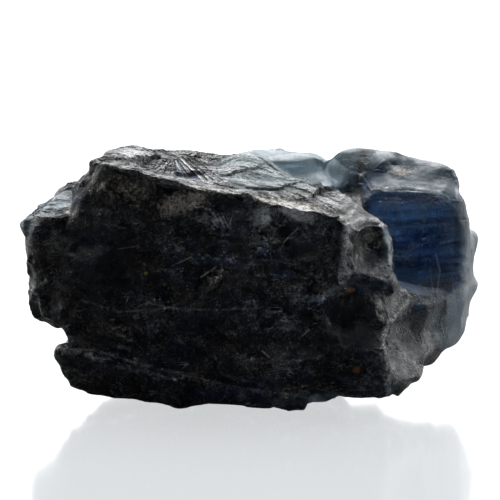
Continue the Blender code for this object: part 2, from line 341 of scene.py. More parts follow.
def reliefTree():
    tree = bpy.data.node_groups.new("stoneRelief", "GeometryNodeTree")
    face = tree.interface
    face.new_socket("Geometry", in_out="INPUT", socket_type="NodeSocketGeometry")
    for name, value in reliefSizes.items():
        socket = face.new_socket(name, in_out="INPUT", socket_type="NodeSocketFloat")
        socket.default_value = value
    for kind in ("Dark", "Clear", "Pale"):
        face.new_socket(f"{kind} Material", in_out="INPUT", socket_type="NodeSocketMaterial")
    face.new_socket("Geometry", in_out="OUTPUT", socket_type="NodeSocketGeometry")
    given = tree.nodes.new("NodeGroupInput").outputs
    place = tree.nodes.new("GeometryNodeInputPosition").outputs[0]
    normal = tree.nodes.new("GeometryNodeInputNormal").outputs[0]
    product, add, less, _, divide = mathsFor(tree)

    def mask(name):
        return put(tree, "GeometryNodeInputNamedAttribute", {"data_type": "FLOAT"}, Name=name).outputs[0]

    def noise(vector, scale, detail=2.0):
        made = put(tree, "ShaderNodeTexNoise", {"noise_dimensions": "4D"},
                   Vector=vector, W=given["Seed"], Scale=scale, Detail=detail)
        return made.outputs[0]

    # Parting ledges round the sides: here and there a layer leans out and then steps back
    level = dot(tree, place, partingWay)
    wave = product(noise(place, 0.11, 3.0), 2.4)
    layer = calc(tree, "FRACT", add(divide(level, given["Ledge Spacing"]), wave))
    lean = calc(tree, "POWER", layer, 4.0)
    steep = less(1.0, calc(tree, "ABSOLUTE", dot(tree, normal, partingWay)))
    ledges = product(lean, given["Ledge Height"], steep, remap(tree, noise(place, 0.33), 0.50, 0.64))

    # Slivers over the top, each ending in a small drop to the front
    along = dot(tree, place, fibreRun)
    across = dot(tree, place, fibreWay)
    drawn = put(tree, "ShaderNodeCombineXYZ", X=product(along, 0.16), Y=across).outputs[0]
    bow = product(noise(drawn, 0.5, 3.0), 2.6)
    sliver = calc(tree, "FRACT", add(divide(across, given["Sliver Spacing"]), bow))
    gate = remap(tree, noise(place, 0.5), 0.42, 0.6)
    slivers = product(less(0.6, sliver), given["Sliver Height"], mask("streaked"), gate)
    fibre = gap(tree, noise(drawn, divide(1.0, given["Fibre Size"]), 3.0), 0.5)
    fibres = product(fibre, given["Fibre Height"], 4.0, mask("streaked"))

    grain = less(noise(place, divide(1.0, given["Grain Size"]), 3.0), 0.5)
    grain = product(grain, given["Grain Height"], 2.0, mask("rough"))
    chips = product(mask("chips"), remap(tree, noise(place, 0.3, 3.0), 0.42, 0.62, 0.35, 1.15))
    ledges = product(ledges, mask("rough"), mask("rough"))
    height = less(add(ledges, chips, slivers, grain), fibres)
    height = product(add(height, mask("lift")), mask("free"))
    offset = vectorCalc(tree, "SCALE", normal, height)
    moved = put(tree, "GeometryNodeSetPosition", Geometry=given["Geometry"], Offset=offset)
    real = put(tree, "GeometryNodeRealizeInstances", Geometry=moved.outputs[0])
    dressed = put(tree, "GeometryNodeSetMaterial", Geometry=real.outputs[0], Material=given["Dark Material"])
    for kind, least in (("Clear", 0.5), ("Pale", 1.5)):
        chosen = calc(tree, "GREATER_THAN", mask("glass"), least)
        dressed = put(tree, "GeometryNodeSetMaterial", Geometry=dressed.outputs[0], Selection=chosen,
                      Material=given[f"{kind} Material"])
    put(tree, "NodeGroupOutput", _0=dressed.outputs[0])
    return tree


# Numbers from 0 to 1 for each cell of a grid, the same on every run
def cellNumbers(cells, count, seed):
    key = cells.astype(np.int64) @ np.array((374761393, 668265263, 1103515245)) + seed * 144665
    numbers = []
    for _ in range(count):
        key = ((key ^ (key >> 13)) * 1274126177) & 0x7FFFFFFF
        key ^= key >> 16
        numbers.append((key & 0xFFFF) / 65536)
    return np.stack(numbers, -1)


# Smooth noise from -1 to 1, with bumps of the given size
def wander(places, size, seed):
    scaled = places / size
    home = np.floor(scaled)
    share = scaled - home
    share = share * share * (3.0 - 2.0 * share)
    total = np.zeros(len(places))
    for corner in itertools.product((0, 1), repeat=3):
        weight = np.prod(np.where(np.array(corner) == 1, share, 1.0 - share), axis=1)
        total += weight * cellNumbers(home + corner, 1, seed)[:, 0]
    return 2.0 * total - 1.0


# The lowest of the chips around each point, which meet in sharp ridges
def chipped(places, size, bowl, block, tilt, seed):
    planes = np.array(stoneShape["planes"]) * np.array(stoneShape["planeShare"])[:, None]
    scaled = places / size
    home = np.floor(scaled)
    lowest = np.full(len(places), 1e9)
    for shift in itertools.product((-1, 0, 1), repeat=3):
        cell = home + shift
        numbers = cellNumbers(cell, 6, seed)
        away = scaled - cell - numbers[:, :3]
        slope = 2.0 * numbers[:, 3:] - 1.0
        depth = tilt * (slope * away).sum(1)
        if bowl:
            depth += bowl * (away**2).sum(1)
        if block:
            depth += block * np.abs(away @ planes.T).max(1)
        lowest = np.minimum(lowest, depth)
    return size * lowest


# Forms cut at named spots of the picture: height or depth in mm, sizes in picture points
shelves = {  # the surface stands out under the line and fades back over the reach
    "middle": (0.10, 16, [(66, 300), (90, 304), (120, 312), (165, 308), (215, 310), (262, 308)]),
    "lower": (0.20, 22, [(82, 350), (95, 351), (130, 361), (180, 374), (230, 386), (300, 397)]),
    "upper": (0.12, 12, [(190, 237), (225, 232), (262, 240), (300, 236)]),
}
dishes = {  # x, y, half width, half height, depth
    "overhang": (226, 204, 22, 6.5, 0.24),
    "hollow": (352, 318, 34, 26, -0.25),
    "knob": (370, 252, 17, 24, 0.16),
    "rightTop": (330, 190, 24, 3.0, 0.14),
    "chipB": (262, 262, 22, 14, 0.14),
    "chipC": (300, 350, 26, 18, 0.14),
    "chipD": (150, 333, 18, 15, 0.18),
}
swells = {  # the same, standing out with a smooth edge
    "humpTop": (275, 162, 50, 15, 0.62),
    "leftTop": (124, 153, 24, 9, 0.42),
    "hornTop": (356, 160, 40, 20, 0.30),
    "blockTop": (420, 168, 40, 12, 0.20),
    "rightEnd": (472, 258, 16, 80, 0.20),
    "lowLeft": (70, 352, 18, 12, 0.22),
    "underLeft": (38, 328, 16, 9, -0.35),
}
cliffs = {  # x, y, half width, height and reach of a drop that faces the camera on the top
    "lens": (148, 156, 13, 0.50, 7),
    "pool": (190, 169, 16, 0.40, 12),
    "small": (163, 166, 9, 0.14, 5),
    "middle": (238, 172, 26, 0.22, 6),
    "long": (275, 186, 30, 0.22, 6),
    "left": (118, 160, 14, 0.16, 5),
}
slopes = {  # the same on the front: the face leans back above the reach
    "beige": (182, 189, 27, 0.55, 28),
    "greyA": (262, 205, 12, 0.42, 26),
    "greyB": (302, 204, 18, 0.42, 18),
    "rimC": (335, 211, 14, 0.35, 18),
    "rimD": (128, 172, 16, 0.30, 16),
    "olive": (238, 221, 13, 0.30, 30),
}
quiet = [(415, 345, 34, 62, 20, 0.8), (350, 312, 36, 30, 0, 0.6), (369, 250, 24, 34, 0, 0.75),
         (430, 280, 40, 20, 0, 0.8), (92, 246, 28, 24, 0, 0.75)]
ridgeLine = [(391, 277), (401, 288), (410, 298), (401, 311), (388, 325), (382, 340), (384, 359), (387, 380),
             (389, 395)]
grooves = {  # depth in mm, half width and points of a line in the picture; below 0 is a ridge
    "knobSide": (0.14, 2.6, [(341, 212), (338, 230), (335, 255), (336, 282)]),
    "knobRing": (-0.11, 3.4, [(346, 225), (360, 219), (377, 220), (389, 238), (391, 258), (388, 276),
                              (365, 284), (347, 281), (343, 255), (346, 225)]),
    "blockEdge": (-0.16, 2.4, [(452, 172), (461, 188), (464, 215), (464, 245), (461, 280)]),
    "ridge": (-0.10, 2.6, ridgeLine),
    "brow": (0.10, 2.0, [(196, 200), (212, 196), (232, 196), (248, 202)]),
}
fan = {"x": 176, "y": 156, "squash": 3.2, "reach": 75, "height": 0.13, "lines": 28}


# Picture places shaken a little, so that no cut is smooth
def shaken(x, y, places):
    return x + 1.6 * wander(places, 0.5, 65), y + 1.6 * wander(places, 0.5, 66)


# Lines that run out from one spot of the top: 1 on a line, 0 between, and where they show
def fanRays(x, y):
    turn = np.arctan2((y - fan["y"]) * fan["squash"], x - fan["x"])
    away = np.hypot((y - fan["y"]) * fan["squash"], x - fan["x"]) / fan["reach"]
    rays = np.mod(turn * fan["lines"] / math.tau + 0.5 * np.sin(turn * 3.0) + 0.5 * away, 1.0)
    return rays, step(0.08, 0.3, away) * step(1.0, 0.6, away)


def carvings(places, normals):
    seenX, seenY = pictureSpots(places)
    plainX, plainY = shaken(seenX, seenY, places)
    x = seenX + 6.0 * wander(places, 1.4, 61) + 3.0 * wander(places, 0.5, 62)
    y = seenY + 4.0 * wander(places, 1.2, 63) + 2.0 * wander(places, 0.4, 64)
    facing = normals @ -viewAxes()[1]
    level = step(0.5, 0.8, normals[:, 2])
    lift, out = np.zeros(len(places)), np.zeros(len(places))
    for height, reach, line in shelves.values():
        lineX, lineY = zip(*line)
        under = y - np.interp(x, lineX, lineY)
        inside = step(lineX[0] - 6, lineX[0] + 6, x) * step(lineX[-1] + 14, lineX[-1] - 14, x)
        lift += height * inside * step(-1.2, 0.6, under) * step(reach, 0, under)
    for spotX, spotY, halfWidth, halfHeight, depth in dishes.values():
        away = ((x - spotX) / halfWidth) ** 2 + ((y - spotY) / halfHeight) ** 2
        lift -= depth * step(1.25, 0.35, away)
    for spotX, spotY, halfWidth, halfHeight, height in swells.values():
        away = ((seenX - spotX) / halfWidth) ** 2 + ((seenY - spotY) / halfHeight) ** 2
        out += height * step(1.4, 0.1, away)

    # Drops under bowed edges: the edge's shake and softness, and the share of each surface
    def drops(table, shake, size, seed, soft, share):
        for spotX, spotY, halfWidth, height, reach in table.values():
            under = plainY - spotY + shake * wander(places, size, seed)
            ends = np.sqrt(np.clip(1.0 - ((plainX - spotX) / halfWidth) ** 2, 0.0, 1.0))
            yield height * ends * share * step(*soft, under) * np.clip(1.0 - under / reach, 0.0, 1.0)

    for drop in drops(cliffs, 0.5, 1.0, 67, (-0.12, 0.12), level):
        lift -= drop
    for depth, halfWidth, points in grooves.values():
        lift -= depth * lineMask(plainX, plainY, points, halfWidth)
    for drop in drops(slopes, 3.0, 0.8, 68, (-4.0, 1.0), 1.0 - level):
        lift -= drop
    rays, zone = fanRays(plainX, plainY)
    lift -= fan["height"] * rays * zone * level
    return lift * step(-0.15, 0.12, facing) + out * step(-0.9, -0.2, facing)


# Where each kind of relief goes on the grid
def shapeMasks(mesh):
    places, edges = readPoints(mesh), readEdges(mesh)
    normals = eased(edges, readNormals(mesh), 8)
    normals /= np.linalg.norm(normals, axis=1)[:, None]
    x, y = pictureSpots(places)
    up = normals[:, 2]
    calm = calmPlaces(places, normals)
    streaked = step(0.5, 0.85, up) * step(12.0, 13.5, places[:, 2]) * step(7.6, 6.0, places[:, 0])
    streaked *= 1.0 - 0.95 * calm
    flat = step(0.6, 0.9, normals @ np.array((0.05, -0.995, 0.1))) * step(8.6, 9.6, places[:, 0])
    flat *= step(7.2, 8.4, places[:, 2]) * step(-4.0, -3.4, places[:, 1])
    rough = (1.0 - streaked) * (1.0 - 0.85 * flat) * (1.0 - 0.93 * calm)
    along = places @ np.array(fibreRun) / stoneShape["drawnOut"]
    drawn = np.stack((along, places @ np.array(fibreWay), places[:, 2]), -1)

    def layered(where, kinds):
        layers = [chipped(where, *kind) for kind in kinds]
        return sum(layer - layer.mean() for layer in layers)

    chips, topChips = layered(places, stoneShape["chips"]), layered(drawn, stoneShape["topChips"])
    towards = step(-0.2, 0.1, normals @ -viewAxes()[1])
    rim = lineMask(x, y, whiteLines["frontRim"][2], 8.0) * step(100, 125, x) * towards
    rough *= (1.0 - patchMask(x, y, quiet) * towards) * (0.25 + 0.75 * step(0.8, 2.6, places[:, 2]))
    writeMasks(mesh, {
        "streaked": eased(edges, streaked, 4),
        "rough": eased(edges, rough, 4),
        "chips": (chips * rough + topChips * streaked) * (1.0 + 0.4 * rim),
        "lift": carvings(places, normals),
        "free": step(0.02, 0.6, places[:, 2]),
        "calm": eased(edges, calm, 4),
        "glass": clearPlaces(places),
    })


def fineStone(materials):
    body = fineBody()
    report(f"grid of {len(body.data.vertices)} points")
    shapeMasks(body.data)
    relief = body.modifiers.new("relief", "NODES")
    relief.node_group = reliefTree()
    given = {**reliefSizes, **materials}
    for socket in relief.node_group.interface.items_tree:
        if socket.name in given:
            relief[socket.identifier] = given[socket.name]
    body = plainCopy(body, "shaped")
    report("relief")
    body.data.calc_loop_triangles()
    thin = body.modifiers.new("thin", "DECIMATE")
    thin.ratio = min(1.0, stoneShape["triangles"] / len(body.data.loop_triangles))
    thin.use_collapse_triangulate = True
    body = plainCopy(body, "sapphireCrystal")
    report(f"{len(body.data.polygons)} triangles")
    return body


# What the photograph shows at named spots, as x, y, half width, half height, turn, strength
marks = {
    "beige": [(176, 205, 20, 9, -14, 1.0), (186, 199, 26, 8, 0, 0.9), (88, 186, 20, 24, -30, 0.26),
              (128, 190, 30, 15, 10, 0.45), (290, 204, 60, 7, 9, 0.50), (400, 171, 15, 6, 10, 0.8),
              (70, 214, 8, 4, 0, 0.4), (205, 190, 40, 5, 8, 0.55), (372, 238, 14, 8, 20, 0.5)],
    "rust": [(350, 290, 6, 4, 0, 0.9), (357, 370, 6, 5, 0, 0.8),
             (372, 284, 4, 3, 0, 0.4), (340, 375, 9, 4, 30, 0.35)],
    # frostAndGlint: whitish frost, and painted glints on the block face at (443, 197) and in the blue pool at
    # (181, 175)
    "frostAndGlint": [(262, 217, 9, 11, 0, 1.3), (300, 214, 16, 6, 12, 1.5), (351, 229, 7, 8, 0, 0.9),
              (338, 200, 20, 7, 0, 1.0), (232, 192, 9, 3, 10, 0.7), (134, 153, 32, 6, 0, 1.0),
              (211, 220, 22, 6, 5, 0.5), (118, 347, 8, 3, 0, 0.45), (443, 197, 8, 4, 20, 0.8),
              (452, 241, 9, 2.5, 10, 0.5), (181, 175, 6, 2, 0, 0.9), (300, 352, 14, 8, 0, 0.25),
              (376, 279, 12, 4, 0, 0.4), (250, 304, 8, 5, 0, 0.35), (151, 332, 9, 13, 20, 0.3)],
    "navy": [(98, 246, 20, 20, 0, 1.2), (230, 393, 45, 9, 0, 0.9), (425, 245, 30, 28, 0, 0.7),
             (372, 260, 11, 14, 0, 0.9), (210, 262, 40, 14, 0, 0.35), (75, 335, 22, 14, 0, 0.4),
             (190, 176, 17, 5, 6, 0.9)],
    "clear": [(388, 248, 4, 20, 0, 0.9), (317, 402, 30, 5, 0, 0.8), (26, 226, 7, 8, 0, 0.8),
              (55, 203, 24, 9, -25, 0.5), (434, 320, 4, 16, 15, 0.6)],
    "teal": [(275, 168, 56, 22, 0, 1.3), (345, 168, 26, 24, 0, 0.9)],
    "speckled": [(415, 345, 30, 55, 20, 1.0), (372, 234, 16, 11, 30, 0.5), (345, 255, 7, 34, 0, 0.9),
                 (400, 305, 18, 20, 0, 1.0), (425, 300, 20, 24, 0, 0.8)],
    "polish": [(415, 235, 42, 44, 0, 1.0), (150, 385, 80, 14, 3, 0.8), (370, 258, 13, 17, 0, 0.9),
               (190, 176, 17, 5, 6, 0.9), (415, 375, 16, 22, 20, 0.8)],
    "matte": [(82, 188, 22, 30, -30, 1.0), (100, 178, 14, 18, 0, 0.8)],
    "pool": [(191, 176, 15, 5, 8, 1.0), (176, 173, 6, 3, 0, 0.8)],
    # dark: partly the stone's own dark spots, partly painted shade under the overhang at (227, 203) and in
    # the hollow at (350, 314) and (345, 340)
    "dark": [(371, 262, 11, 14, 0, 0.8), (82, 192, 14, 24, -30, 0.8), (147, 160, 12, 4.2, 0, 1.0),
             (190, 176, 17, 5, 6, 0.8), (227, 203, 17, 6.5, 4, 1.0), (238, 237, 13, 15, 0, 0.8),
             (350, 314, 34, 28, 0, 1.0), (345, 340, 36, 13, 0, 0.9), (104, 256, 36, 42, 0, 0.9),
             (300, 250, 26, 22, 0, 0.7), (190, 325, 46, 14, 0, 0.6), (150, 205, 18, 26, 0, 0.6)],
}
# Whitish lines, as a half width, a strength and points in the picture
whiteLines = {
    "frontRim": (2.2, 1.0, [(86, 171), (105, 164), (127, 172), (166, 183), (204, 186), (236, 194),
                            (271, 201), (319, 210), (348, 220), (357, 204)]),
    "ridge": (3.0, 1.1, ridgeLine),
    "knobEdge": (4.2, 1.0, [(348, 222), (346, 240), (343, 262), (342, 282)]),
    "knobTop": (2.4, 0.8, [(346, 225), (360, 219), (377, 220), (386, 232)]),
    "hollowSide": (2.0, 0.7, [(324, 293), (322, 309), (330, 325)]),
    "blockTop": (1.6, 1.2, [(385, 190), (400, 187), (418, 188), (440, 192)]),
    # blockSide: a painted glow along the block's backlit right edge
    "blockSide": (2.0, 0.6, [(464, 190), (466, 215), (465, 240), (463, 277)]),
    "middle": (1.6, 0.62, [(80, 300), (120, 312), (165, 308), (215, 310), (262, 308)]),
    "lower": (1.6, 0.65, [(60, 349), (95, 350), (130, 361), (180, 374), (230, 386), (300, 396)]),
}


# Fine strokes: a colour, then start and end in the picture, half width in mm and strength of each
strokes = {
    "scratches": ("frostAndGlint", [(201, 277, 216, 267, 0.05, 0.9)]),
    # white hackles below the rim: partly fracture lines, partly painted glints
    "hackleGlints": ("frostAndGlint", [(213, 213, 218, 221, 0.04, 0.7), (218, 214, 223, 224, 0.035, 0.8),
        (223, 216, 228, 227, 0.04, 0.7), (232, 217, 229, 225, 0.035, 0.6), (191, 219, 201, 216, 0.04, 0.7),
        (200, 222, 210, 217, 0.035, 0.6)]),
    "feathers": ("lavender", [(149, 335, 147, 323, 0.07, 0.35), (156, 331, 159, 320, 0.09, 0.30),
        (143, 334, 139, 327, 0.06, 0.30), (130, 349, 120, 346, 0.13, 0.55)]),
    "flakes": ("frostAndGlint", [(247, 301, 245, 307, 0.06, 0.45), (254, 301, 256, 308, 0.10, 0.40),
        (262, 351, 269, 357, 0.06, 0.7), (300, 338, 309, 330, 0.05, 0.6), (286, 366, 293, 374, 0.05, 0.5)]),
    "creases": ("frostAndGlint", [(343, 187, 356, 176, 0.06, 0.7), (356, 176, 372, 170, 0.06, 0.6),
        (372, 170, 384, 159, 0.07, 0.7)]),
    "filaments": ("frostAndGlint", [(172, 266, 191, 257, 0.04, 0.55), (148, 303, 178, 309, 0.05, 0.55),
        (298, 228, 283, 243, 0.05, 0.5), (118, 249, 139, 246, 0.04, 0.4)]),
    "goldSpots": ("gold", [(145.5, 273, 146.5, 273, 0.11, 0.9), (372, 233, 374, 236, 0.09, 0.8),
        (366, 244, 367, 246, 0.07, 0.7)]),
    "blockGlints": ("sky", [(438, 192, 450, 202, 0.16, 0.9), (447, 201, 464, 214, 0.06, 0.8),
        (441, 243, 463, 238, 0.10, 0.5)]),
    "cracks": ("blush", [(436, 255, 440, 271, 0.07, 0.9), (440, 271, 437, 292, 0.07, 0.8),
        (430, 268, 433, 290, 0.06, 0.8)]),
    "topLines": ("frostAndGlint", [(384, 188, 402, 186, 0.06, 0.8), (402, 186, 440, 191, 0.07, 0.9)]),
    # the block's right edge painted bright: a painted glow of the backlit edge
    "blockEdgeGlow": ("pale", [(456, 178, 464, 194, 0.10, 0.9), (464, 194, 466, 240, 0.10, 0.9),
        (466, 240, 463, 277, 0.10, 0.8)]),
    # dark lines painted into the fan's grooves: painted shade
    "fanGrooves": ("fanGrooveShade", [(178, 158, 199, 179, 0.05, 0.9), (182, 157, 207, 180, 0.06, 0.9),
        (187, 158, 213, 180, 0.05, 0.8), (194, 159, 222, 180, 0.04, 0.7), (177, 160, 190, 178, 0.06, 0.9),
        (174, 160, 177, 176, 0.05, 0.8), (171, 160, 164, 172, 0.05, 0.9), (168, 159, 156, 168, 0.05, 0.8),
        (173, 161, 170, 174, 0.04, 0.7)]),
    "fanGlints": ("frostAndGlint", [(180, 158, 203, 180, 0.035, 0.9), (169, 161, 160, 171, 0.035, 0.9)]),
    # a painted blue glint in the pool
    "fanBlueGlint": ("sky", [(176, 162, 184, 177, 0.04, 0.9)]),
}


# 1 where the camera sees the surface, 0 where it is turned away or hidden
def seenFromCamera(mesh, places, normals):
    eye = viewAxes()[0] / mm
    way = eye - places
    way /= np.linalg.norm(way, axis=1)[:, None]
    facing = step(0.0, 0.12, np.einsum("ij,ij->i", way, normals))
    tree = BVHTree.FromPolygons([Vector(p) for p in places], [tuple(f.vertices) for f in mesh.polygons])
    clear = np.zeros(len(places))
    starts = places + 0.08 * normals + 0.04 * way
    for index in np.nonzero(facing > 0.0)[0]:
        clear[index] = tree.ray_cast(Vector(starts[index]), Vector(way[index]), 60.0)[0] is None
    return facing * clear, tree


def patchMask(x, y, spots):
    total = np.zeros(len(x))
    for spotX, spotY, halfWidth, halfHeight, turn, strength in spots:
        angle = math.radians(turn)
        along = (x - spotX) * math.cos(angle) + (y - spotY) * math.sin(angle)
        over = (y - spotY) * math.cos(angle) - (x - spotX) * math.sin(angle)
        total = np.maximum(total, strength * np.exp(-((along / halfWidth) ** 2 + (over / halfHeight) ** 2)))
    return total


def lineMask(x, y, points, halfWidth):
    nearest = np.full(len(x), 1e9)
    for (startX, startY), (endX, endY) in zip(points[:-1], points[1:]):
        runX, runY = endX - startX, endY - startY
        share = ((x - startX) * runX + (y - startY) * runY) / (runX * runX + runY * runY)
        share = np.clip(share, 0.0, 1.0)
        nearest = np.minimum(nearest, np.hypot(x - startX - share * runX, y - startY - share * runY))
    return np.exp(-((nearest / halfWidth) ** 2))


# How far it is straight through the stone, up to the reach
def thickness(tree, places, normals, reach=4.0):
    depth = np.full(len(places), reach)
    for index, (place, normal) in enumerate(zip(places - 0.03 * normals, -normals)):
        hit = tree.ray_cast(Vector(place), Vector(normal), reach)
        if hit[0] is not None:
            depth[index] = hit[3]
    return depth


# Where each finish goes on the shaped stone, in millimetres
def finishMasks(mesh):
    places, normals, edges = readPoints(mesh), readNormals(mesh), readEdges(mesh)
    soft = eased(edges, normals, 5)
    bulge = np.einsum("ij,ij->i", places - eased(edges, places, 3), normals)
    swell = np.einsum("ij,ij->i", places - eased(edges, places, 14), soft)
    seen, tree = seenFromCamera(mesh, places, soft)
    seen = eased(edges, seen, 3)
    x, y = pictureSpots(places)
    rays, zone = fanRays(*shaken(x, y, places))
    lines = [strength * lineMask(x, y, points, halfWidth) for halfWidth, strength, points in whiteLines.values()]
    lines.append(rays**6 * zone * step(0.3, 0.7, soft[:, 2]))
    writeMasks(mesh, {name: seen * patchMask(x, y, spots) for name, spots in marks.items()})
    writeMasks(mesh, {
        "crest": eased(edges, step(0.004, 0.03, bulge) * 0.6 + step(0.02, 0.14, swell) * 0.6, 1),
        "whiteLine": seen * np.maximum.reduce(lines),
        "skyward": step(0.45, 0.9, soft[:, 2]) * step(11.5, 13.5, places[:, 2]),
        "thin": step(2.6, 0.6, eased(edges, thickness(tree, places, soft), 8)),
        "pale": paleStrip(places),
        "clearShare": eased(edges, np.maximum(*clearShares(places)), 2),
    })


finish = {
    "body": (0.0014, 0.0019, 0.0038),
    "navy": (0.0025, 0.007, 0.030),
    "glassyBlue": (0.007, 0.020, 0.085),
    "haze": (0.0045, 0.0056, 0.010),
    "grey": (0.26, 0.27, 0.28),
    # whitish frost, also the colour of painted glints
    "frostAndGlint": (0.90, 0.92, 0.93),
    "beige": (1.0, 0.85, 0.69),
    "dust": (0.62, 0.57, 0.52),
    "pale": (0.86, 0.95, 1.0),
    "rust": (0.45, 0.16, 0.035),
    # near black of the painted shade in the fan's grooves
    "fanGrooveShade": (0.002, 0.003, 0.006),
    "lavender": (0.62, 0.60, 0.78),
    "gold": (0.85, 0.66, 0.06),
    "poolBlue": (0.010, 0.032, 0.095),
    # pale blue of the painted glints
    "sky": (0.50, 0.78, 1.0),
    "blush": (0.85, 0.66, 0.68),
    "teal": (0.19, 0.29, 0.325),
    "blockTeal": (0.12, 0.20, 0.24),
    "tealClear": (0.66, 0.86, 0.98),
    "deep": (0.20, 0.36, 0.55),
    "nearBlack": (0.035, 0.06, 0.12),
    "clear": (0.40, 0.55, 0.66),
}
crystals = {
    "Dark": {"zone": 0, "transmission": 0.3, "specular": 0.37, "density": 0.0},
    "Clear": {"zone": 1, "transmission": 0.65, "specular": 0.3, "density": 300.0},  # per metre
    "Pale": {"zone": 2, "transmission": 0.7, "specular": 0.4, "density": 60.0},
}
crystalSizes = {"ior": 1.77, "absorption": (0.35, 0.62, 0.84)}


def colourMix(tree, share, under, over):
    under, over = [(*value, 1.0) if isinstance(value, tuple) else value for value in (under, over)]
    return put(tree, "ShaderNodeMix", {"data_type": "RGBA"}, _0=share, _6=under, _7=over).outputs[2]


def newGroup(name, output, vectors=("Vector",), **sizes):
    tree = bpy.data.node_groups.new(name, "ShaderNodeTree")
    face = tree.interface
    for label in vectors:
        face.new_socket(label, in_out="INPUT", socket_type="NodeSocketVector")
    for label, value in sizes.items():
        label = label.replace("_", " ")
        face.new_socket(label, in_out="INPUT", socket_type="NodeSocketFloat").default_value = value
    face.new_socket(output, in_out="OUTPUT", socket_type="NodeSocketFloat")
    return tree, tree.nodes.new("NodeGroupInput").outputs, tree.nodes.new("NodeGroupOutput").inputs[output]


# Fine pale filaments and flecks, in clumps
def fleckGroup():
    tree, given, out = newGroup("flecks", "Mask", Size=0.4, Clump_Size=2.0, Cover=0.5)
    product, add, less, _, divide = mathsFor(tree)
    place, scale = given["Vector"], divide(1.0, given["Size"])
    bend = put(tree, "ShaderNodeTexNoise", Vector=place, Scale=product(scale, 0.7)).outputs[1]
    bent = vectorCalc(tree, "ADD", place, vectorCalc(tree, "SCALE", bend, product(given["Size"], 0.45)))
    thread = gap(tree, noiseOf(tree, bent, scale, 4.0, 0.62), 0.5)
    low = less(0.85, product(given["Cover"], 0.6))
    clump = remap(tree, noiseOf(tree, place, divide(1.0, given["Clump Size"]), 3.0), low, add(low, 0.16))
    tree.links.new(product(remap(tree, thread, 0.05, 0.0), clump), out)
    return tree


# Long thin scratches across one way
def scratchGroup():
    tree, given, out = newGroup("scratches", "Mask", Spacing=0.5, Length=5.0, Cover=0.5)
    product, add, less, _, divide = mathsFor(tree)
    across = divide(1.0, given["Spacing"])
    stretch = put(tree, "ShaderNodeCombineXYZ", X=divide(1.0, given["Length"]), Y=across, Z=across).outputs[0]
    drawn = vectorCalc(tree, "MULTIPLY", given["Vector"], stretch)
    line = remap(tree, gap(tree, noiseOf(tree, drawn, 1.0), 0.5), 0.018, 0.0)
    low = less(0.85, product(given["Cover"], 0.6))
    gate = remap(tree, noiseOf(tree, given["Vector"], 0.9), low, add(low, 0.12))
    tree.links.new(product(line, gate), out)
    return tree


# Small bright dots, one in some of the cells
def speckGroup():
    tree, given, out = newGroup("specks", "Mask", Spacing=0.25, Size=0.3, Cover=0.5)
    product, add, _, _, divide = mathsFor(tree)
    cell = put(tree, "ShaderNodeTexVoronoi", Vector=given["Vector"], Scale=divide(1.0, given["Spacing"]))
    pick = put(tree, "ShaderNodeSeparateColor", Color=cell.outputs["Color"]).outputs[0]
    size = product(given["Size"], add(0.4, pick))
    dot = remap(tree, cell.outputs["Distance"], size, product(size, 0.4))
    tree.links.new(product(dot, calc(tree, "LESS_THAN", pick, given["Cover"])), out)
    return tree


# Flat grains, each leaning its own way, as a height
def grainGroup():
    tree, given, out = newGroup("grains", "Height", Size=0.4)
    scale = calc(tree, "DIVIDE", 1.0, given["Size"])
    cell = put(tree, "ShaderNodeTexVoronoi", Vector=given["Vector"], Scale=scale)
    away = vectorCalc(tree, "SUBTRACT", given["Vector"], cell.outputs["Position"])
    slope = vectorCalc(tree, "SUBTRACT", cell.outputs["Color"], (0.5, 0.5, 0.5))
    tree.links.new(dot(tree, slope, away), out)
    return tree


# A straight stroke, as the front shows it
def strokeGroup():
    tree, given, out = newGroup("stroke", "Mask", ("Vector", "Start", "Run"), Width=0.05)
    product, _, less, most, divide = mathsFor(tree)
    away = vectorCalc(tree, "SUBTRACT", given["Vector"], given["Start"])
    forward = tuple(viewAxes()[1])

    def flattened(value):
        depth = dot(tree, value, forward)
        return vectorCalc(tree, "SUBTRACT", value, vectorCalc(tree, "SCALE", forward, depth)), depth

    flat, depth = flattened(away)
    run, runDepth = flattened(given["Run"])
    share = divide(dot(tree, flat, run), dot(tree, run, run))
    share = calc(tree, "MINIMUM", most(share, 0.0), 1.0)
    side = vectorCalc(tree, "SUBTRACT", flat, vectorCalc(tree, "SCALE", run, share))
    depth = gap(tree, depth, product(runDepth, share))
    width = product(given["Width"], 1.4)
    line = remap(tree, vectorCalc(tree, "LENGTH", side), width, product(width, 0.3))
    tree.links.new(product(line, calc(tree, "LESS_THAN", depth, 1.8)), out)
    return tree


groups = {"grains": grainGroup(), "stroke": strokeGroup(), "flecks": fleckGroup(),
          "scratches": scratchGroup(), "specks": speckGroup()}


def useGroup(tree, name, **inputs):
    return put(tree, "ShaderNodeGroup", {"node_tree": groups[name]}, **inputs).outputs[0]


# The point of the stone that shows at a spot of the picture, in millimetres
def faceSpot(tree, x, y):
    eye, forward, upward = viewAxes()
    zoom, middle = pictureScale()
    way = forward + np.array(((x - middle) / zoom, 0.0, 0.0)) - (y - middle) / zoom * upward
    hit = tree.ray_cast(Vector(eye), Vector(way))[0]
    return np.array(hit if hit else (0.0, 0.0, -1.0)) / mm


# Each stroke's ends on the stone, half width, strength and colour
def strokeRows():
    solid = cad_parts["sapphire_crystal"].data
    tree = BVHTree.FromPolygons([v.co for v in solid.vertices], [tuple(f.vertices) for f in solid.polygons])
    return [(faceSpot(tree, startX, startY), faceSpot(tree, endX, endY), width, strength, tint)
            for tint, rows in strokes.values() for startX, startY, endX, endY, width, strength in rows]


